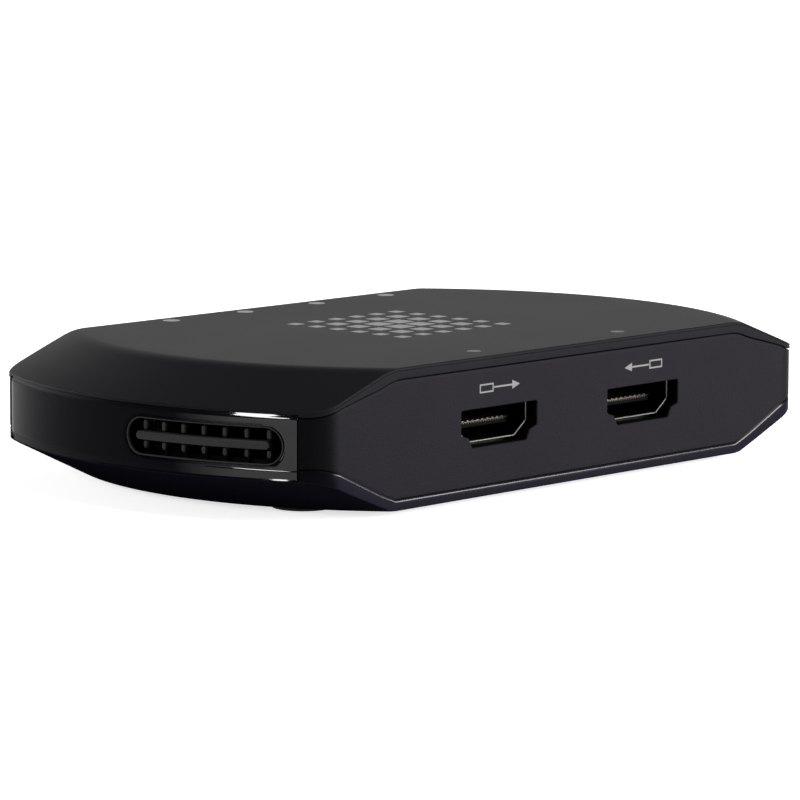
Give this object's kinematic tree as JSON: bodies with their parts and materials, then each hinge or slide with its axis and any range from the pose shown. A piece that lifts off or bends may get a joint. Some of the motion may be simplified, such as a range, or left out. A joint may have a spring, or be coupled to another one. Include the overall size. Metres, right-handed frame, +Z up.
{
  "type": "video capture box",
  "caption": "Low round video capture box cut flat at front and rear, with gloss side bands, side vents, video ports in front and data and audio connectors behind.",
  "frame": {"origin": "on the table, under the middle of the case", "axes": "+Z up, +X along the width, the front panel with the video ports faces -Y"},
  "size_m": [0.117, 0.0624, 0.02],
  "materials": {
    "bottom_plastic": "satin black moulding",
    "top_plastic": "soft-touch matte black",
    "panel_plastic": "fine-grained matte black",
    "band_gloss": "polished piano black",
    "grille_plastic": "satin dark grey moulding",
    "board_laminate": "green solder mask",
    "port_steel": "nickel-plated sheet",
    "connector_plastic": "moulded black",
    "contact_gold": "gold flash",
    "chip_epoxy": "matte black moulding compound",
    "pad_silicone": "soft grey-blue pad",
    "sink_aluminium": "black anodised",
    "can_metal": "plain drawn can",
    "inductor_ferrite": "pressed grey ferrite",
    "lamp_white": "white lamp body",
    "light_pipe_clear": "frosted clear moulding",
    "screw_steel": "zinc-plated",
    "foot_rubber": "matte black rubber",
    "inlay_gloss": "polished black tiles"
  },
  "bodies": {
    "root": {"bottom_cover": "bottom_plastic", "top_cover": "top_plastic", "front_panel": "panel_plastic", "rear_panel": "panel_plastic", "left_band": "band_gloss", "right_band": "band_gloss", "left_vent_grille": "grille_plastic", "right_vent_grille": "grille_plastic", "main_board": "board_laminate", "video_out_shell": "port_steel", "video_in_shell": "port_steel", "video_out_insert": "connector_plastic", "video_in_insert": "connector_plastic", "video_out_contacts": "contact_gold", "video_in_contacts": "contact_gold", "data_shell": "port_steel", "data_tongue": "connector_plastic", "data_contacts": "contact_gold", "line_in_jack": "connector_plastic", "headset_jack": "connector_plastic", "microphone_jack": "connector_plastic", "capture_chip": "chip_epoxy", "thermal_pad": "pad_silicone", "heat_sink": "sink_aluminium", "memory_chips": "chip_epoxy", "receiver_chip": "chip_epoxy", "driver_chip": "chip_epoxy", "audio_codec": "chip_epoxy", "flash_chip": "chip_epoxy", "crystal": "can_metal", "power_inductors": "inductor_ferrite", "bulk_capacitors": "can_metal", "front_lamps": "lamp_white", "rear_lamps": "lamp_white", "front_light_pipes": "light_pipe_clear", "rear_light_pipes": "light_pipe_clear", "board_screws": "screw_steel", "case_screws": "screw_steel", "rubber_feet": "foot_rubber", "top_inlay": "inlay_gloss"}
  },
  "joints": []
}
